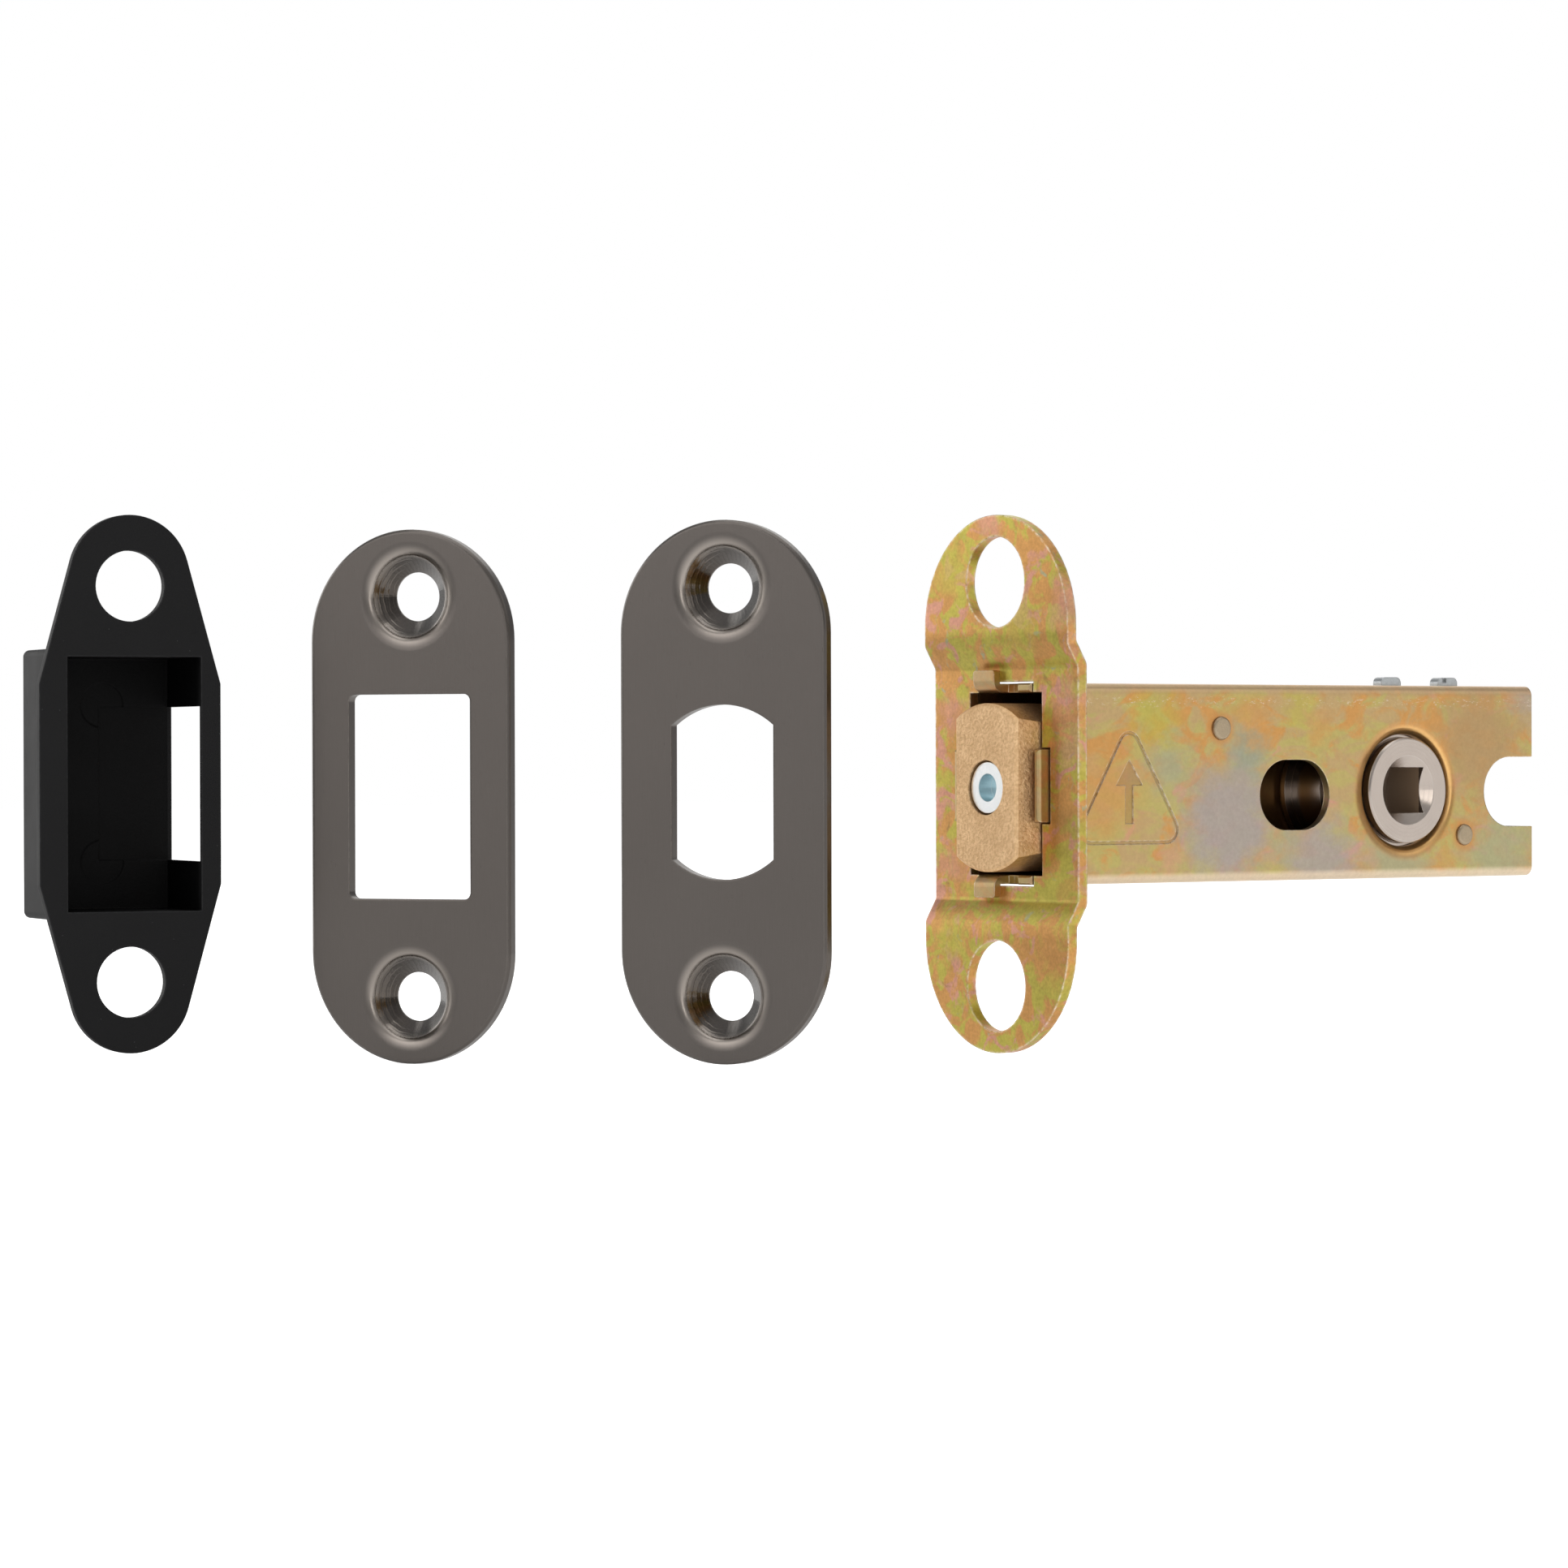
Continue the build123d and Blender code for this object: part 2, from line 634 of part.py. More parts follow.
pieces = {
    "dust_box": Pos(dust_x, dust_y, dust_z) * Rot(0, 0, dust_turn) * make_dust_box(),
    "strike_plate": Pos(strike_x, strike_y, strike_z) * Rot(0, 0, strike_turn) * make_strike_plate(),
    "face_plate": Pos(cover_x, cover_y, cover_z) * Rot(0, 0, cover_turn) * make_face_plate(),
    "forend_plate": make_forend_plate(),
    "case_right_shell": make_case_right_shell(),
    "case_left_shell": make_case_left_shell(),
    "front_case_rivet": make_case_rivet(front_rivet_x, front_rivet_z, front_rivet_radius),
    "rear_case_rivet": make_case_rivet(rear_rivet_x, rear_rivet_z, rear_rivet_radius),
    "spring_holder": make_spring_holder(),
    "detent_spring": make_detent_spring(),
    "bolt_head": make_bolt_head(),
    "bolt_insert": make_bolt_insert(),
    "bolt_tail": make_bolt_tail(),
    "tail_rivet": make_tail_rivet(),
    "follower": make_follower(),
}

os.makedirs("parts", exist_ok=True)
for name, piece in pieces.items():
    piece.label = name
    export_step(piece, f"parts/{name}.step")
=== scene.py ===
# Tubular deadbolt with its cover plate, strike plate and dust box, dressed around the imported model
import bpy
import math
from mathutils import Matrix, Vector


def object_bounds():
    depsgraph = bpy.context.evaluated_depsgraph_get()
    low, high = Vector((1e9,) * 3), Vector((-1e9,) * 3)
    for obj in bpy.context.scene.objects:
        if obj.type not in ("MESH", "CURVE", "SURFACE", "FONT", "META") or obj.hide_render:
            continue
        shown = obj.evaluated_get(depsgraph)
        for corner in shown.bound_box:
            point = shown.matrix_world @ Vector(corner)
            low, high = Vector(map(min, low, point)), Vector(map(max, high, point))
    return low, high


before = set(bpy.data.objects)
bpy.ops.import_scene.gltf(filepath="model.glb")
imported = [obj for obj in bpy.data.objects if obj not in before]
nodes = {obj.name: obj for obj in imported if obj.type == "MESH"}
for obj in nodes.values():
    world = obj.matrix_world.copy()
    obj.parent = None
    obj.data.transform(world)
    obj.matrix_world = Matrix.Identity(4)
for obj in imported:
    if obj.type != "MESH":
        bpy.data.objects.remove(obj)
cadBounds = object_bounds()
scene = bpy.context.scene
scene.view_settings.view_transform = "Standard"
print("frame loaded:", len(nodes), "nodes")


# Camera at the photo's place: a long lens, level with the pieces. Angles in degrees
cameraValues = {
    "turn": 52.77, "pitch": -0.26, "roll": 0.163,
    "across": 0.023574, "rise": -0.000005, "distance": 0.629555,
    "lens": 129.69, "sensor": 36.0, "clip": (0.02, 20.0),
}


def placeCamera(v):
    turn, pitch, roll = (math.radians(v[k]) for k in ("turn", "pitch", "roll"))
    across = Vector((math.sin(turn), -math.cos(turn), 0))
    depth = Vector((math.cos(turn), math.sin(turn), 0))
    vertical = Vector((0, 0, 1))
    right = math.cos(roll) * across - math.sin(roll) * vertical
    rolledUp = math.sin(roll) * across + math.cos(roll) * vertical
    up = math.cos(pitch) * rolledUp - math.sin(pitch) * depth
    forward = math.sin(pitch) * rolledUp + math.cos(pitch) * depth
    spot = -v["across"] * right - v["rise"] * up - v["distance"] * forward
    data = bpy.data.cameras.new("photoCamera")
    data.sensor_fit = "HORIZONTAL"
    data.sensor_width = v["sensor"]
    data.lens = v["lens"]
    data.clip_start, data.clip_end = v["clip"]
    camera = bpy.data.objects.new("photoCamera", data)
    scene.collection.objects.link(camera)
    turnMatrix = Matrix((right, up, -forward)).transposed().to_4x4()
    camera.matrix_world = Matrix.Translation(spot) @ turnMatrix
    scene.camera = camera


placeCamera(cameraValues)
print("camera placed")


# Helpers that build nodes. A value may be a number, a tuple or another node's socket
def addNode(tree, kind, inputs=None, **settings):
    node = tree.nodes.new(kind)
    for name, value in settings.items():
        setattr(node, name, value)
    for name, value in (inputs or {}).items():
        if isinstance(value, bpy.types.NodeSocket):
            tree.links.new(value, node.inputs[name])
        else:
            node.inputs[name].default_value = value
    return node


def mathNode(tree, operation, first, second=None, clamp=False):
    inputs = {0: first} if second is None else {0: first, 1: second}
    return addNode(tree, "ShaderNodeMath", inputs, operation=operation, use_clamp=clamp).outputs[0]


def product(tree, first, *others):
    for other in others:
        first = mathNode(tree, "MULTIPLY", first, other)
    return first


def vectorNode(tree, operation, first, second):
    return addNode(tree, "ShaderNodeVectorMath", {0: first, 1: second}, operation=operation).outputs[0]


def scaled(tree, vector, factor):
    return addNode(tree, "ShaderNodeVectorMath", {0: vector, "Scale": factor}, operation="SCALE").outputs[0]


def partsOf(tree, vector):
    return addNode(tree, "ShaderNodeSeparateXYZ", {"Vector": vector}).outputs


def mixValue(tree, factor, first, second):
    return addNode(tree, "ShaderNodeMix", {0: factor, 2: first, 3: second}).outputs[0]


def mixColour(tree, factor, first, second):
    return addNode(tree, "ShaderNodeMix", {0: factor, 6: first, 7: second}, data_type="RGBA").outputs[2]


def mapRange(tree, value, ends, results=(0.0, 1.0), kind="LINEAR"):
    # The first result at the first end, the second at the other, and no further
    return addNode(tree, "ShaderNodeMapRange", {"Value": value, "From Min": ends[0], "From Max": ends[1],
                                               "To Min": results[0], "To Max": results[1]},
                   interpolation_type=kind).outputs[0]


def spread(tree, value, low, high):
    # A 0 to 1 value brought between two others
    return mapRange(tree, value, (0.0, 1.0), (low, high))


def fade(tree, value, ends):
    # 0 at the first end, 1 at the second
    return mapRange(tree, value, ends, kind="SMOOTHSTEP")


def nearness(tree, distance, inner, outer):
    # 1 within the inner distance, 0 past the outer one
    return mapRange(tree, distance, (inner, outer), (1.0, 0.0), "SMOOTHSTEP")


def millimetres(tree):
    return scaled(tree, addNode(tree, "ShaderNodeTexCoord").outputs["Object"], 1000.0)


def shifted(tree, vector, offset):
    return vectorNode(tree, "ADD", vector, offset)


def noiseOf(tree, vector, scale, detail=2.0, roughness=0.5, distortion=0.0):
    return addNode(tree, "ShaderNodeTexNoise", {"Vector": vector, "Scale": scale, "Detail": detail,
                                               "Roughness": roughness, "Distortion": distortion})


def bumpOf(tree, height, strength, distance, normal):
    return addNode(tree, "ShaderNodeBump", {"Height": height, "Strength": strength, "Distance": distance,
                                           "Normal": normal}).outputs["Normal"]


# Floor and studio light. The floor's glow is one value for the camera; reflections see it change from left to
# right and to the rear, between the given places
studioValues = {
    "floorSize": 6.0, "floorColour": (0.6, 0.6, 0.6, 1), "floorRoughness": 0.8, "floorSpecular": 0.2,
    "floorGlow": 0.78, "leftGlow": 0.5, "rightGlow": 0.72, "rearGlow": 0.3,
    "glowAcross": (-0.04, 0.03), "glowBehind": (-0.05, 0.12),
    "backdrop": (1.0, 1.0, 1.0, 1), "backdropStrength": 1.0,
    "roomDark": (0.10, 0.10, 0.11, 1), "roomLight": (0.95, 0.95, 0.95, 1),
    "roomHeights": (-0.6, 0.8), "roomStrength": 0.55,
}
# name: place, aim, width, height, power, colour
lampValues = {
    "keyBox": ((-0.95, 0.05, 0.45), (-0.02, 0.02, 0), 0.7, 0.8, 2.75, (1.0, 0.98, 0.97)),
    "sideBox": ((0.73, -0.79, 0.28), (0.04, 0, 0), 0.7, 1.2, 1.95, (1.0, 0.98, 0.95)),
    "frontStrip": ((-0.42, -1.0, 0.12), (0.05, 0, 0), 0.25, 0.8, 1.7, (1.0, 0.98, 0.95)),
    "rearFill": ((0.62, 0.78, 0.45), (0, 0, 0), 0.8, 0.6, 1.3, (1.0, 0.99, 0.97)),
    "overhead": ((0.1, 0.1, 1.1), (0, 0, 0), 1.1, 1.1, 5.0, (1.0, 1.0, 1.0)),
    "backFill": ((-0.42, 0.92, 0.14), (0, 0, 0), 1.25, 0.62, 3.25, (1.0, 0.99, 0.97)),
}


def lightRoom(v):
    world = bpy.data.worlds.new("studioRoom")
    scene.world = world
    world.use_nodes = True
    tree = world.node_tree
    tree.nodes.clear()
    direction = addNode(tree, "ShaderNodeTexCoord").outputs["Generated"]
    height = partsOf(tree, direction)["Z"]
    room = mixColour(tree, mapRange(tree, height, v["roomHeights"]), v["roomDark"], v["roomLight"])
    roomLight = addNode(tree, "ShaderNodeBackground", {"Color": room, "Strength": v["roomStrength"]})
    backdrop = addNode(tree, "ShaderNodeBackground", {"Color": v["backdrop"],
                                                     "Strength": v["backdropStrength"]})
    path = addNode(tree, "ShaderNodeLightPath")
    both = addNode(tree, "ShaderNodeMixShader", {0: path.outputs["Is Camera Ray"],
                                                1: roomLight.outputs[0], 2: backdrop.outputs[0]})
    addNode(tree, "ShaderNodeOutputWorld", {"Surface": both.outputs[0]})


def placeLamp(name, place, aim, width, height, power, colour):
    data = bpy.data.lights.new(name, "AREA")
    data.shape = "RECTANGLE"
    data.size = width
    data.size_y = height
    data.energy = power
    data.color = colour
    lamp = bpy.data.objects.new(name, data)
    lamp.visible_camera = False
    scene.collection.objects.link(lamp)
    lamp.location = place
    lamp.rotation_euler = (Vector(aim) - Vector(place)).to_track_quat("-Z", "Y").to_euler()


def layFloor(v):
    bpy.ops.object.select_all(action="DESELECT")
    bpy.ops.mesh.primitive_plane_add(size=v["floorSize"], location=(0, 0, cadBounds[0][2]))
    floor = bpy.context.object
    floor.name = "floor"
    bpy.ops.object.transform_apply(location=True, rotation=True, scale=True)
    material = bpy.data.materials.new("paleFloor")
    material.use_nodes = True
    tree = material.node_tree
    shader = tree.nodes["Principled BSDF"]
    shader.inputs["Base Color"].default_value = v["floorColour"]
    shader.inputs["Roughness"].default_value = v["floorRoughness"]
    shader.inputs["Specular IOR Level"].default_value = v["floorSpecular"]
    shader.inputs["Emission Color"].default_value = (1, 1, 1, 1)
    spot = partsOf(tree, addNode(tree, "ShaderNodeTexCoord").outputs["Object"])
    front = mapRange(tree, spot["X"], v["glowAcross"], (v["leftGlow"], v["rightGlow"]))
    fall = mapRange(tree, spot["Y"], v["glowBehind"], (front, v["rearGlow"]))
    path = addNode(tree, "ShaderNodeLightPath")
    glow = mixValue(tree, path.outputs["Is Camera Ray"], fall, v["floorGlow"])
    tree.links.new(glow, shader.inputs["Emission Strength"])
    floor.data.materials.append(material)


lightRoom(studioValues)
for name, values in lampValues.items():
    placeLamp(name, *values)
layFloor(studioValues)
print("studio lit")


# Shader node groups that the finishes share
def newGroup(name, inputs, outputs):
    tree = bpy.data.node_groups.new(name, "ShaderNodeTree")
    for label, kind, default in inputs:
        socket = tree.interface.new_socket(name=label, in_out="INPUT", socket_type=kind)
        socket.default_value = default
    for label, kind in outputs:
        tree.interface.new_socket(name=label, in_out="OUTPUT", socket_type=kind)
    start = tree.nodes.new("NodeGroupInput")
    end = tree.nodes.new("NodeGroupOutput")
    return tree, start, end


def useGroup(tree, group, inputs=None):
    return addNode(tree, "ShaderNodeGroup", inputs, node_tree=group)


# speckle: noise per mm, detail, roughness, and the levels between which a rubbed edge breaks up
rubValues = {"speckle": (1.6, 3.0, 0.6), "levels": (0.38, 0.64), "samples": 6}


def makeEdgeRub(v):
    # Where the surface turns sharply, broken up by a fine noise
    tree, start, end = newGroup("edgeRub", [("Radius", "NodeSocketFloat", 0.0002),
                                            ("Gain", "NodeSocketFloat", 3.0),
                                            ("Breakup", "NodeSocketFloat", 0.6)],
                                [("Mask", "NodeSocketFloat"), ("Normal", "NodeSocketVector")])
    bevel = addNode(tree, "ShaderNodeBevel", {"Radius": start.outputs["Radius"]}, samples=v["samples"])
    shape = addNode(tree, "ShaderNodeNewGeometry")
    dot = addNode(tree, "ShaderNodeVectorMath", {0: bevel.outputs[0], 1: shape.outputs["Normal"]},
                  operation="DOT_PRODUCT")
    turned = mathNode(tree, "SUBTRACT", 1.0, dot.outputs["Value"], clamp=True)
    strong = mathNode(tree, "MULTIPLY", turned, start.outputs["Gain"], clamp=True)
    speckle = noiseOf(tree, millimetres(tree), *v["speckle"])
    lift = mapRange(tree, speckle.outputs["Fac"], v["levels"])
    whole = mathNode(tree, "SUBTRACT", 1.0, start.outputs["Breakup"])
    broken = mathNode(tree, "MULTIPLY", lift, start.outputs["Breakup"])
    share = mathNode(tree, "ADD", whole, broken, clamp=True)
    mask = mathNode(tree, "MULTIPLY", strong, share, clamp=True)
    tree.links.new(mask, end.inputs["Mask"])
    tree.links.new(bevel.outputs[0], end.inputs["Normal"])
    return tree


def makeGrain():
    # Fine drawn or moulded grain: Stretch is the noise frequency along each axis, per mm
    tree, start, end = newGroup("surfaceGrain", [("Stretch", "NodeSocketVector", (6, 6, 6)),
                                                 ("Detail", "NodeSocketFloat", 4.0)],
                                [("Value", "NodeSocketFloat")])
    stretched = vectorNode(tree, "MULTIPLY", millimetres(tree), start.outputs["Stretch"])
    grain = noiseOf(tree, stretched, 1.0, start.outputs["Detail"], 0.6)
    tree.links.new(grain.outputs["Fac"], end.inputs["Value"])
    return tree


def makeSpecks():
    # Scattered small specks, such as lint
    tree, start, end = newGroup("specks", [("Pitch", "NodeSocketFloat", 1.2),
                                           ("Size", "NodeSocketFloat", 0.06)],
                                [("Mask", "NodeSocketFloat")])
    cells = addNode(tree, "ShaderNodeTexVoronoi", {"Vector": millimetres(tree),
                                                  "Scale": start.outputs["Pitch"], "Randomness": 1.0})
    spot = mathNode(tree, "LESS_THAN", cells.outputs["Distance"], start.outputs["Size"])
    tree.links.new(spot, end.inputs["Mask"])
    return tree


edgeRub = makeEdgeRub(rubValues)
surfaceGrain = makeGrain()
specks = makeSpecks()
print("shader groups made")


# What the finishes share. In their values, places are in mm; rub is the radius in m, gain and breakup of the
# rubbed edges; relief is the strength and distance in m of a bump; a noise is its scale per mm, detail and
# roughness; and a pair beside a mask's name is where it begins and ends
def newFinish(name, values):
    material = bpy.data.materials.new(name)
    material.use_nodes = True
    tree = material.node_tree
    shader = tree.nodes["Principled BSDF"]
    for label, value in values.items():
        shader.inputs[label].default_value = value
    return material, tree, shader


def rubbed(tree, rub):
    return useGroup(tree, edgeRub, dict(zip(("Radius", "Gain", "Breakup"), rub))).outputs


def dress(tree, shader, base, roughness, height, relief, normal):
    tree.links.new(base, shader.inputs["Base Color"])
    tree.links.new(roughness, shader.inputs["Roughness"])
    tree.links.new(bumpOf(tree, height, *relief, normal), shader.inputs["Normal"])


def ownPlace(tree, centre, turn):
    # Places on a loose piece, from the middle of its front face, with X behind it
    own = addNode(tree, "ShaderNodeMapping", {"Vector": millimetres(tree), "Location": centre,
                                             "Rotation": (0, 0, math.radians(turn))}, vector_type="TEXTURE")
    return own.outputs[0]


def flatDistance(tree, vector, axis, centre, foldHeight=False):
    # Distance from a line along one axis; centre is the line's place on the other two
    parts = partsOf(tree, vector)
    squares = []
    for name, middle in zip([n for n in "XYZ" if n != axis], centre):
        value = mathNode(tree, "ABSOLUTE", parts[name]) if foldHeight and name == "Z" else parts[name]
        offset = mathNode(tree, "SUBTRACT", value, middle)
        squares.append(mathNode(tree, "MULTIPLY", offset, offset))
    return mathNode(tree, "SQRT", mathNode(tree, "ADD", squares[0], squares[1]))


def rollMouth(tree, radius, normal, v):
    # Turns the surface in towards a hole, wider than the modelled round
    left = mathNode(tree, "MAXIMUM", mathNode(tree, "SUBTRACT", v["mouthReach"], radius), 0.0)
    return bumpOf(tree, product(tree, left, left, -v["mouthFall"]), 1.0, 0.001, normal)


# Black moulded plastic of the dust box, with painted shade darkening its hollow. Its turn is in degrees
plasticValues = {
    "colour": (0.0095, 0.0095, 0.010, 1), "cloud": (0.013, 0.013, 0.0135, 1), "worn": (0.05, 0.05, 0.052, 1),
    "lint": (0.10, 0.10, 0.10, 1), "lintPitch": 0.8, "lintSize": 0.04, "lintAmount": 0.45,
    "cloudNoise": (0.15, 3.0), "roughness": (0.46, 0.62), "specular": 0.11, "refraction": 1.5,
    "grain": (7, 7, 7), "relief": (0.3, 0.00008), "rub": (0.00028, 3.5, 0.5),
    "centre": (-77.01, 57.83, 0.26), "turn": 75.3,
    "cavityShade": (0.0022, 0.0022, 0.0024, 1), "cavityHalf": (8.3, 14.3), "cavityDepth": (0.2, 1.6),
}


def makePlastic(v):
    material, tree, shader = newFinish("blackPlastic", {"Specular IOR Level": v["specular"],
                                                        "IOR": v["refraction"]})
    place = ownPlace(tree, v["centre"], v["turn"])
    parts = partsOf(tree, place)
    cavityShade = mapRange(tree, parts["X"], v["cavityDepth"])
    for name, half in zip("YZ", v["cavityHalf"]):
        within = mathNode(tree, "LESS_THAN", mathNode(tree, "ABSOLUTE", parts[name]), half)
        cavityShade = product(tree, cavityShade, within)
    rub = rubbed(tree, v["rub"])
    grain = useGroup(tree, surfaceGrain, {"Stretch": v["grain"]}).outputs["Value"]
    lint = useGroup(tree, specks, {"Pitch": v["lintPitch"], "Size": v["lintSize"]}).outputs["Mask"]
    cloud = noiseOf(tree, place, *v["cloudNoise"]).outputs["Fac"]
    base = mixColour(tree, cloud, v["colour"], v["cloud"])
    base = mixColour(tree, rub["Mask"], base, v["worn"])
    base = mixColour(tree, product(tree, lint, v["lintAmount"]), base, v["lint"])
    # painted shade: the hollow of the box darkened towards black
    base = mixColour(tree, cavityShade, base, v["cavityShade"])
    dress(tree, shader, base, spread(tree, cloud, *v["roughness"]), grain, v["relief"], rub["Normal"])
    return material


# Black nickel of the two plates: fine upright grain, turned rings in the countersinks, and a pale ring of
# painted highlight round each countersink's mouth
nickelValues = {
    "colour": (0.126, 0.113, 0.104, 1), "cloud": (0.140, 0.126, 0.116, 1), "cloudNoise": (0.08, 2.0),
    "grainShade": (0.088, 0.079, 0.072, 1), "grainAmount": 0.3, "grainNoise": (1.0, 3.0, 0.6),
    "grain": (3, 9, 0.3), "roughness": (0.24, 0.36), "relief": (0.14, 0.00005),
    "worn": (0.42, 0.39, 0.35, 1), "rub": (0.0003, 1.0, 0.5),
    "holeHeight": 22.5, "sinkRadius": (4.1, 4.9), "sinkColour": (0.135, 0.118, 0.104, 1),
    "sinkRoughness": 0.2, "sinkRings": 2.4, "ringHeights": (-0.6, 1.6),
    "ringWander": 5.0, "wanderNoise": (0.9, 3.0),
    "mouthRadius": (4.5, 5.9), "mouthReach": 6.2, "mouthFall": 0.18, "mouthHighlightAmount": 0.8,
    "mouthHighlightColour": (0.48, 0.43, 0.385, 1),
    # centre and turn in degrees
    "plates": {"face_plate": ((-28.96, 12.12, -0.78), 28.34), "strike_plate": ((-49.57, 43.26, -1.26), 29.1)},
}


def makeBlackNickel(name, centre, turn, v):
    material, tree, shader = newFinish("blackNickel_" + name, {"Metallic": 1.0})
    place = ownPlace(tree, centre, turn)
    rub = rubbed(tree, v["rub"])
    grain = noiseOf(tree, vectorNode(tree, "MULTIPLY", place, v["grain"]), *v["grainNoise"]).outputs["Fac"]
    cloud = noiseOf(tree, place, *v["cloudNoise"]).outputs["Fac"]
    away = flatDistance(tree, place, "X", (0, v["holeHeight"]), True)
    sink = nearness(tree, away, *v["sinkRadius"])
    mouth = product(tree, nearness(tree, away, *v["mouthRadius"]), v["mouthHighlightAmount"])
    base = mixColour(tree, cloud, v["colour"], v["cloud"])
    base = mixColour(tree, product(tree, grain, v["grainAmount"]), base, v["grainShade"])
    # painted highlight: the pale ring round each countersink's mouth
    base = mixColour(tree, mouth, base, v["mouthHighlightColour"])
    base = mixColour(tree, sink, base, v["sinkColour"])
    base = mixColour(tree, rub["Mask"], base, v["worn"])
    rough = mixValue(tree, sink, spread(tree, grain, *v["roughness"]), v["sinkRoughness"])
    wander = product(tree, noiseOf(tree, place, *v["wanderNoise"]).outputs["Fac"], v["ringWander"])
    phase = mathNode(tree, "ADD", product(tree, away, v["sinkRings"] * 2 * math.pi), wander)
    rings = spread(tree, mathNode(tree, "SINE", phase), *v["ringHeights"])
    normal = rollMouth(tree, away, rub["Normal"], v)
    dress(tree, shader, base, rough, mixValue(tree, sink, grain, rings), v["relief"], normal)
    return material


# Zinc with a yellow passivate: patches and drifts of orange, lime, pink, mauve and grey green
zincValues = {
    "orange": (0.52, 0.268, 0.085, 1), "gold": (0.445, 0.31, 0.145, 1), "lime": (0.435, 0.375, 0.072, 1),
    "pink": (0.545, 0.27, 0.185, 1), "olive": (0.30, 0.185, 0.062, 1), "ash": (0.345, 0.335, 0.20, 1),
    "teal": (0.28, 0.305, 0.225, 1), "mauve": (0.343, 0.298, 0.272, 1), "tan": (0.39, 0.255, 0.12, 1),
    "straw": (0.43, 0.36, 0.125, 1), "halo": (0.50, 0.235, 0.075, 1), "haloAmount": 0.7,
    "worn": (0.95, 0.85, 0.68, 1), "inside": (0.30, 0.165, 0.065, 1), "metallic": 0.9,
    "grain": (2.6, 2.6, 2.6), "grainDetail": 5.0, "relief": (0.12, 0.00006), "edgeRound": 0.0002,
    "patchNoise": (4.0, 0.55, 0.9),  # detail, roughness, distortion
    "patchShift": (40.0, 15.0), "warpNoise": (0.3, 4.0, 0.6), "warpReach": 7.0,
    "toneShift": (9.0, 70.0, 30.0), "toneNoise": (0.7, 3.0, 0.6), "toneMiddle": 1.04,
}
# turn of the patches in degrees, across the axis that the drifts and halos look along
zincKinds = {
    "forend": {
        "ground": "orange", "turn": 0.0, "stretch": 1.0, "roughness": (0.30, 0.44),
        "rub": (0.0005, 3.4, 0.92), "mottle": 0.36, "tone": 0.23, "across": "X",
        # colour, scale per mm, and the noise levels between which it comes in
        "patches": [("lime", 0.30, 0.46, 0.56), ("pink", 0.27, 0.55, 0.64), ("olive", 0.5, 0.60, 0.80),
                    ("ash", 0.45, 0.62, 0.74)],
        # y, z, inner and outer radius, amount, colour
        "drifts": [(-10.9, 4.0, 0.8, 4.2, 0.6, "pink"), (-10.3, 9.5, 0.6, 3.6, 0.7, "pink"),
                   (9.2, 8.0, 0.5, 3.6, 0.7, "pink"), (-10.6, -4.8, 0.5, 3.6, 0.4, "olive"),
                   (8.0, 24.5, 1.0, 5.0, 0.7, "lime"), (0.8, 29.3, 0.5, 2.8, 0.8, "pink"),
                   (-12.3, 20.0, 0.5, 4.0, 0.8, "pink"), (-4.0, 17.5, 1.0, 4.5, 0.7, "lime"),
                   (8.0, -17.5, 1.0, 4.0, 0.7, "lime"), (-9.5, -18.5, 1.0, 4.8, 0.75, "orange"),
                   (9.8, -9.0, 0.5, 3.2, 0.6, "pink"), (-9.5, -11.5, 0.5, 4.0, 0.6, "lime")],
        "halos": [],
    },
    "case": {
        "ground": "gold", "turn": 32.0, "stretch": 1.6, "roughness": (0.27, 0.40),
        "rub": (0.00025, 2.8, 0.92), "mottle": 0.16, "tone": 0.08, "across": "Y",
        "patches": [("straw", 0.17, 0.41, 0.59), ("orange", 0.2, 0.48, 0.65), ("pink", 0.2, 0.58, 0.76)],
        # x, z, inner and outer radius, amount, colour
        "drifts": [(9.5, -1.0, 1.0, 8.0, 0.75, "orange"), (17.0, 7.5, 0.5, 5.5, 0.7, "lime"),
                   (19.5, 2.0, 0.5, 4.8, 0.85, "ash"), (31.5, 7.2, 0.5, 4.6, 0.7, "orange"),
                   (30.5, 3.0, 0.5, 4.8, 0.85, "teal"), (28.0, -4.6, 3.0, 9.5, 0.92, "mauve"),
                   (18.8, -8.6, 0.3, 3.0, 0.6, "pink"), (37.5, -6.4, 0.5, 4.2, 0.75, "ash"),
                   (42.5, -9.4, 2.0, 8.0, 0.85, "mauve"), (42.5, 6.4, 0.5, 3.4, 0.6, "orange"),
                   (38.5, 8.4, 0.5, 4.0, 0.6, "lime"), (54.0, -9.6, 1.5, 8.0, 0.8, "ash"),
                   (67.5, 4.5, 3.0, 9.5, 0.85, "tan"), (70.5, -8.6, 2.0, 7.5, 0.8, "ash"),
                   (75.0, 10.0, 0.5, 4.0, 0.6, "mauve")],
        # x, z, inner and outer radius
        "halos": [(26.9, 6.2, 1.4, 2.4), (64.9, -6.25, 1.3, 2.5), (55.5, -0.98, 7.3, 8.5)],
    },
}
# Rounding of the forend's outer creases: height of the crease, reach each side, rise of the slope beyond
creaseValues = {"height": 15.45, "reach": 1.7, "slope": 0.6, "core": 0.2}
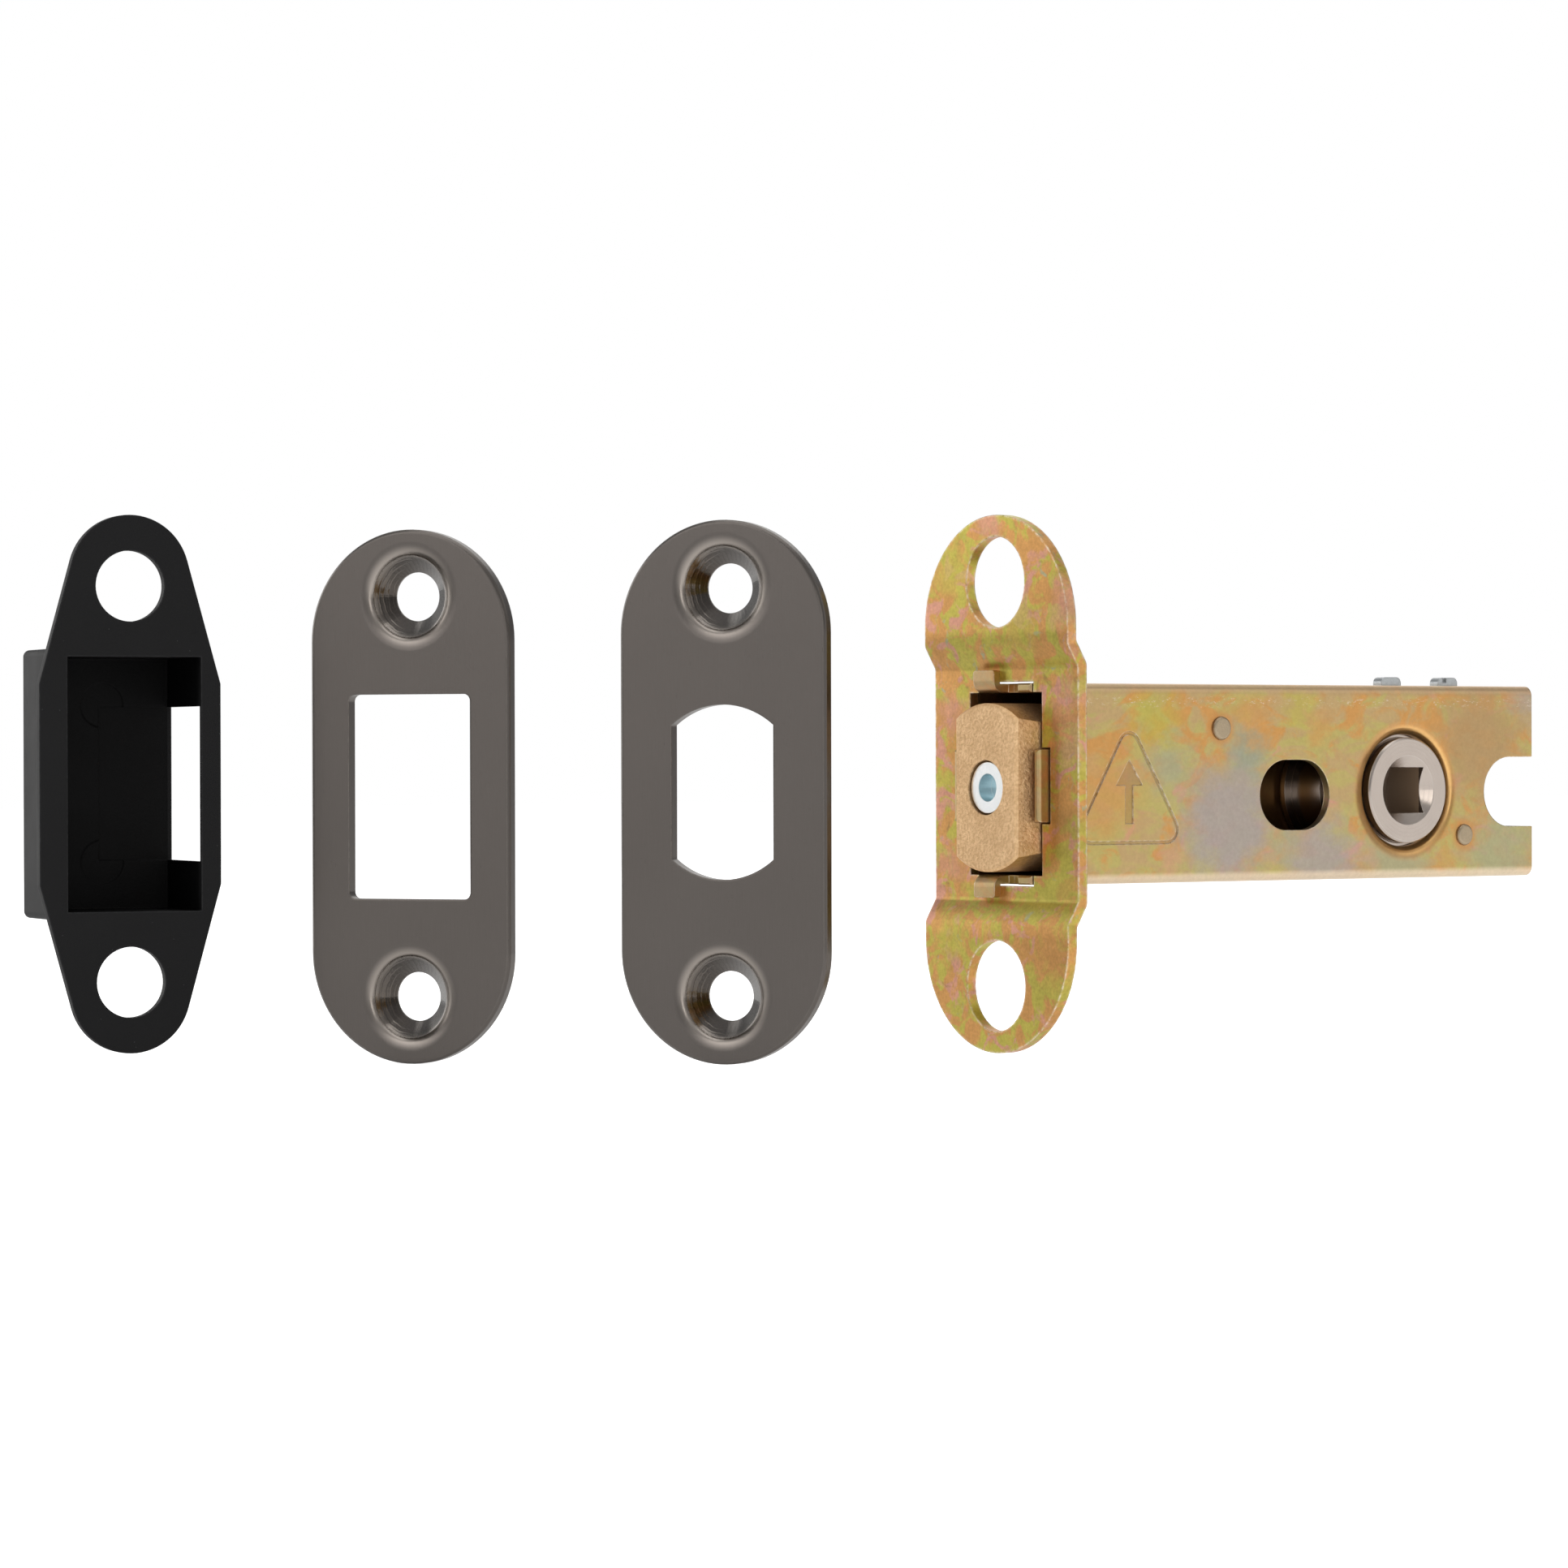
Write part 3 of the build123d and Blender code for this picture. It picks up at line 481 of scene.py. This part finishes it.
# Masks on the case: its bends, lighter as painted highlight; the scuffs beside the upper one; the cut mark's
# groove, darker as painted shade;
# the hub hole's drawn mouth, its gold brightened as painted highlight; the case's interior, darker brown as
# painted shade; and the tongues in front
caseValues = {
    "bendSide": (4.4, 6.2), "bendAmount": 0.8, "topBend": (9.9, 10.8), "topBendHighlight": (0.56, 0.39, 0.23, 1),
    "lowBend": (-9.9, -10.7), "lowBendHighlight": (0.68, 0.55, 0.40, 1),
    "scuff": (0.66, 0.56, 0.45, 1), "scuffAmount": 0.6, "scuffHeight": 9.2, "scuffReach": (0.1, 0.9),
    "scuffGrain": (1.6, 5.0, 5.0), "scuffNoise": (1.0, 3.0, 0.7), "scuffLevels": (0.58, 0.68),
    "mark": (7.38, 7.46), "markRear": (22.5, 24.0), "markHeight": (8.6, 9.4), "markAmount": 0.42,
    "markGrooveShade": (0.27, 0.165, 0.07, 1),
    "mouth": (7.0, 7.8), "mouthHighlightColour": (0.80, 0.49, 0.19, 1), "mouthReach": 8.1, "mouthFall": 0.32,
    "inside": (6.4, 6.9), "insideHeight": (10.25, 10.7), "insideFront": (2.9, 3.3),
    "insideRear": (76.0, 75.6), "tongueColour": (0.44, 0.31, 0.175, 1), "tongueAmount": 0.5,
}


def zincFilm(tree, place, kind, v):
    # The coloured film: patches of each colour over the ground, then the drifts and halos, which have places
    turn = (0, math.radians(kind["turn"]), 0)
    lean = addNode(tree, "ShaderNodeMapping", {"Vector": place, "Rotation": turn,
                                              "Scale": (1, 1, kind["stretch"])},
                   vector_type="POINT").outputs[0]
    base = v[kind["ground"]]
    step, side = v["patchShift"]
    for number, (name, scale, low, high) in enumerate(kind["patches"]):
        noise = noiseOf(tree, shifted(tree, lean, (step * number, side, 0)), scale, *v["patchNoise"])
        base = mixColour(tree, fade(tree, noise.outputs["Fac"], (low, high)), base, v[name])
    ragged = noiseOf(tree, lean, *v["warpNoise"]).outputs["Color"]
    centred = vectorNode(tree, "SUBTRACT", ragged, (0.5, 0.5, 0.5))
    warped = shifted(tree, place, scaled(tree, centred, v["warpReach"]))
    for first, second, inner, outer, amount, name in kind["drifts"]:
        away = flatDistance(tree, warped, kind["across"], (first, second))
        near = nearness(tree, away, inner, outer)
        base = mixColour(tree, product(tree, near, amount), base, v[name])
    for first, second, inner, outer in kind["halos"]:
        away = flatDistance(tree, place, kind["across"], (first, second))
        near = nearness(tree, away, inner, outer)
        base = mixColour(tree, product(tree, near, v["haloAmount"]), base, v["halo"])
    return base


def caseBands(tree, place, base, v):
    parts = partsOf(tree, place)
    across = mathNode(tree, "ABSOLUTE", parts["Y"])
    height = mathNode(tree, "ABSOLUTE", parts["Z"])
    behind = fade(tree, parts["X"], v["insideFront"])
    # painted highlight: the top and bottom bends lighter than the flats
    for edge, colour in (("topBend", "topBendHighlight"), ("lowBend", "lowBendHighlight")):
        bend = product(tree, fade(tree, parts["Z"], v[edge]), fade(tree, across, v["bendSide"]), behind)
        base = mixColour(tree, product(tree, bend, v["bendAmount"]), base, v[colour])
    tongue = product(tree, mathNode(tree, "SUBTRACT", 1.0, behind), v["tongueAmount"])
    base = mixColour(tree, tongue, base, v["tongueColour"])
    fine = vectorNode(tree, "MULTIPLY", place, v["scuffGrain"])
    strokes = fade(tree, noiseOf(tree, fine, *v["scuffNoise"]).outputs["Fac"], v["scuffLevels"])
    off = mathNode(tree, "ABSOLUTE", mathNode(tree, "SUBTRACT", parts["Z"], v["scuffHeight"]))
    scuff = product(tree, strokes, nearness(tree, off, *v["scuffReach"]), v["scuffAmount"])
    base = mixColour(tree, scuff, base, v["scuff"])
    # painted shade: the cut mark's groove darker brown than the face around it
    mark = product(tree, nearness(tree, across, *v["mark"]), nearness(tree, parts["X"], *v["markRear"]),
                   behind, nearness(tree, height, *v["markHeight"]), v["markAmount"])
    base = mixColour(tree, mark, base, v["markGrooveShade"])
    hub = flatDistance(tree, place, "Y", followerValues["axis"])
    # the hub hole's mouth ring: the film's own gold, brightened as painted highlight
    base = mixColour(tree, nearness(tree, hub, *v["mouth"]), base, v["mouthHighlightColour"])
    # painted shade: the case's interior surfaces darkened to brown
    inside = product(tree, nearness(tree, across, *v["inside"]), nearness(tree, height, *v["insideHeight"]),
                     behind, fade(tree, parts["X"], v["insideRear"]))
    return mixColour(tree, inside, base, zincValues["inside"])


def roundCreases(tree, place, normal, v):
    # Softens the two outer creases of the forend, as a fillet would that meets both flats
    height = mathNode(tree, "ABSOLUTE", partsOf(tree, place)["Z"])
    off = mathNode(tree, "SUBTRACT", height, v["height"])
    off = mathNode(tree, "SQRT", mathNode(tree, "ADD", product(tree, off, off), v["core"] ** 2))
    left = mathNode(tree, "MAXIMUM", mathNode(tree, "SUBTRACT", v["reach"], off), 0.0)
    return bumpOf(tree, product(tree, left, left, -v["slope"] / (4 * v["reach"])), 1.0, 0.001, normal)


def makeZincYellow(name, v):
    kind = zincKinds[name]
    material, tree, shader = newFinish("zincYellow_" + name, {"Metallic": v["metallic"]})
    place = millimetres(tree)
    worn = rubbed(tree, kind["rub"])["Mask"]
    normal = useGroup(tree, edgeRub, {"Radius": v["edgeRound"]}).outputs["Normal"]
    grain = useGroup(tree, surfaceGrain, {"Stretch": v["grain"], "Detail": v["grainDetail"]}).outputs[0]
    base = zincFilm(tree, place, kind, v)
    if name == "case":
        base = caseBands(tree, place, base, caseValues)
        hub = flatDistance(tree, place, "Y", followerValues["axis"])
        normal = rollMouth(tree, hub, normal, caseValues)
    else:
        normal = roundCreases(tree, place, normal, creaseValues)
    mottle = spread(tree, grain, 1 - kind["mottle"], 1 + kind["mottle"])
    drift = noiseOf(tree, shifted(tree, place, v["toneShift"]), *v["toneNoise"]).outputs["Fac"]
    tone = spread(tree, drift, v["toneMiddle"] - kind["tone"], v["toneMiddle"] + kind["tone"])
    base = scaled(tree, base, product(tree, mottle, tone))
    base = mixColour(tree, worn, base, v["worn"])
    dress(tree, shader, base, spread(tree, grain, *kind["roughness"]), grain, v["relief"], normal)
    return material


# Metals that differ only in colour, gloss and grain
metalShared = {
    "gain": 1.2, "breakup": 0.9, "grainDetail": 4.0, "cloudNoise": (0.5, 3.0), "pitLevels": (0.42, 0.62),
    "pitAmount": 0.7, "glossier": 0.06, "rougher": 0.1, "reliefDistance": 0.0001,
}
# name: colour, second colour, worn colour, roughness, grain per mm, strength of the relief, edge radius in m
metalValues = {
    "boltBrass": ((1.0, 0.72, 0.42, 1), (0.62, 0.385, 0.19, 1), (0.98, 0.76, 0.48, 1),
                  0.46, (2.6, 2.6, 2.6), 1.0, 0.00015),
    "paleZinc": ((1.0, 1.0, 0.98, 1), (0.90, 0.94, 0.96, 1), (0.98, 0.98, 0.98, 1),
                 0.34, (4, 4, 4), 0.12, 0.00012),
    "rivetSteel": ((0.45, 0.35, 0.23, 1), (0.36, 0.29, 0.20, 1), (0.85, 0.79, 0.66, 1),
                   0.40, (6, 6, 6), 0.3, 0.0003),
    "brightZinc": ((0.46, 0.48, 0.49, 1), (0.36, 0.38, 0.39, 1), (0.80, 0.81, 0.82, 1),
                   0.3, (5, 5, 5), 0.25, 0.00015),
    "springSteel": ((0.15, 0.14, 0.13, 1), (0.11, 0.10, 0.09, 1), (0.3, 0.3, 0.3, 1),
                    0.3, (2, 9, 2), 0.15, 0.0001),
    # the bolt tail's steel, its colours darkened as painted shade for its place within the case
    "shadedTailSteel": ((0.24, 0.20, 0.18, 1), (0.14, 0.10, 0.075, 1), (0.45, 0.36, 0.27, 1),
                  0.36, (5, 5, 5), 0.3, 0.00015),
}
# The insert's bore, with its axis at y, z
boreValues = {"axis": (0.0, -0.4), "reach": (1.5, 1.62), "colour": (0.60, 0.77, 0.82, 1)}


def makeMetal(name, values, v):
    colour, second, wornColour, roughness, stretch, relief, edge = values
    material, tree, shader = newFinish(name, {"Metallic": 1.0})
    rub = rubbed(tree, (edge, v["gain"], v["breakup"]))
    grain = useGroup(tree, surfaceGrain, {"Stretch": stretch, "Detail": v["grainDetail"]}).outputs["Value"]
    cloud = noiseOf(tree, millimetres(tree), *v["cloudNoise"])
    base = mixColour(tree, cloud.outputs["Fac"], colour, second)
    pits = product(tree, mapRange(tree, grain, v["pitLevels"]), v["pitAmount"])
    base = mixColour(tree, pits, base, second)
    base = mixColour(tree, rub["Mask"], base, wornColour)
    if name == "paleZinc":
        bore = flatDistance(tree, millimetres(tree), "X", boreValues["axis"])
        base = mixColour(tree, nearness(tree, bore, *boreValues["reach"]), base, boreValues["colour"])
    rough = spread(tree, grain, roughness - v["glossier"], roughness + v["rougher"])
    dress(tree, shader, base, rough, grain, (relief, v["reliefDistance"]), rub["Normal"])
    return material


# Bright nickel follower with turned rings on its face, and painted shade darkening its square hole; axis at
# x, z
followerValues = {
    "colour": (0.47, 0.41, 0.365, 1), "cloud": (0.42, 0.365, 0.325, 1), "cloudNoise": (0.6, 3.0),
    "worn": (0.90, 0.86, 0.82, 1), "rub": (0.00016, 1.6, 0.3),
    "squareShade": (0.24, 0.165, 0.105, 1), "axis": (55.5, -0.98), "squareHalf": 2.66, "squareDepth": 6.92,
    "ringPitch": 2.2, "ringWander": 3.0, "ringShades": (0.35, 0.65), "roughness": (0.20, 0.30),
    "relief": (0.05, 0.00004),
}


def makeFollower(v):
    material, tree, shader = newFinish("brightNickel", {"Metallic": 1.0})
    place = millimetres(tree)
    parts = partsOf(tree, place)
    rub = rubbed(tree, v["rub"])
    cloud = noiseOf(tree, place, *v["cloudNoise"]).outputs["Fac"]
    radius = flatDistance(tree, place, "Y", v["axis"])
    phase = mathNode(tree, "ADD", product(tree, radius, v["ringPitch"] * 2 * math.pi),
                     product(tree, cloud, v["ringWander"]))
    rings = spread(tree, mathNode(tree, "SINE", phase), *v["ringShades"])
    # painted shade: the square hole darkened to brown and made not metallic
    squareShade = mathNode(tree, "LESS_THAN", mathNode(tree, "ABSOLUTE", parts["Y"]), v["squareDepth"])
    for name, middle in zip("XZ", v["axis"]):
        gap = mathNode(tree, "ABSOLUTE", mathNode(tree, "SUBTRACT", parts[name], middle))
        squareShade = product(tree, squareShade, mathNode(tree, "LESS_THAN", gap, v["squareHalf"]))
    base = mixColour(tree, cloud, v["colour"], v["cloud"])
    base = mixColour(tree, rub["Mask"], base, v["worn"])
    base = mixColour(tree, squareShade, base, v["squareShade"])
    tree.links.new(mathNode(tree, "SUBTRACT", 1.0, squareShade), shader.inputs["Metallic"])
    dress(tree, shader, base, spread(tree, rings, *v["roughness"]), rings, v["relief"], rub["Normal"])
    return material


finishes = {"blackPlastic": makePlastic(plasticValues), "brightNickel": makeFollower(followerValues)}
for name, (centre, turn) in nickelValues["plates"].items():
    finishes[name] = makeBlackNickel(name, centre, turn, nickelValues)
for name in zincKinds:
    finishes[name] = makeZincYellow(name, zincValues)
for name, values in metalValues.items():
    finishes[name] = makeMetal(name, values, metalShared)

finishOf = {
    "dust_box": "blackPlastic", "strike_plate": "strike_plate", "face_plate": "face_plate",
    "forend_plate": "forend", "case_right_shell": "case", "case_left_shell": "case",
    "front_case_rivet": "rivetSteel", "rear_case_rivet": "rivetSteel", "spring_holder": "brightZinc",
    "detent_spring": "springSteel", "bolt_head": "boltBrass", "bolt_insert": "paleZinc",
    "bolt_tail": "shadedTailSteel", "tail_rivet": "rivetSteel", "follower": "brightNickel",
}
for nodeName, finishName in finishOf.items():
    node = nodes[nodeName]
    node.data.materials.clear()
    node.data.materials.append(finishes[finishName])
print("finishes given to", len(finishOf), "nodes")
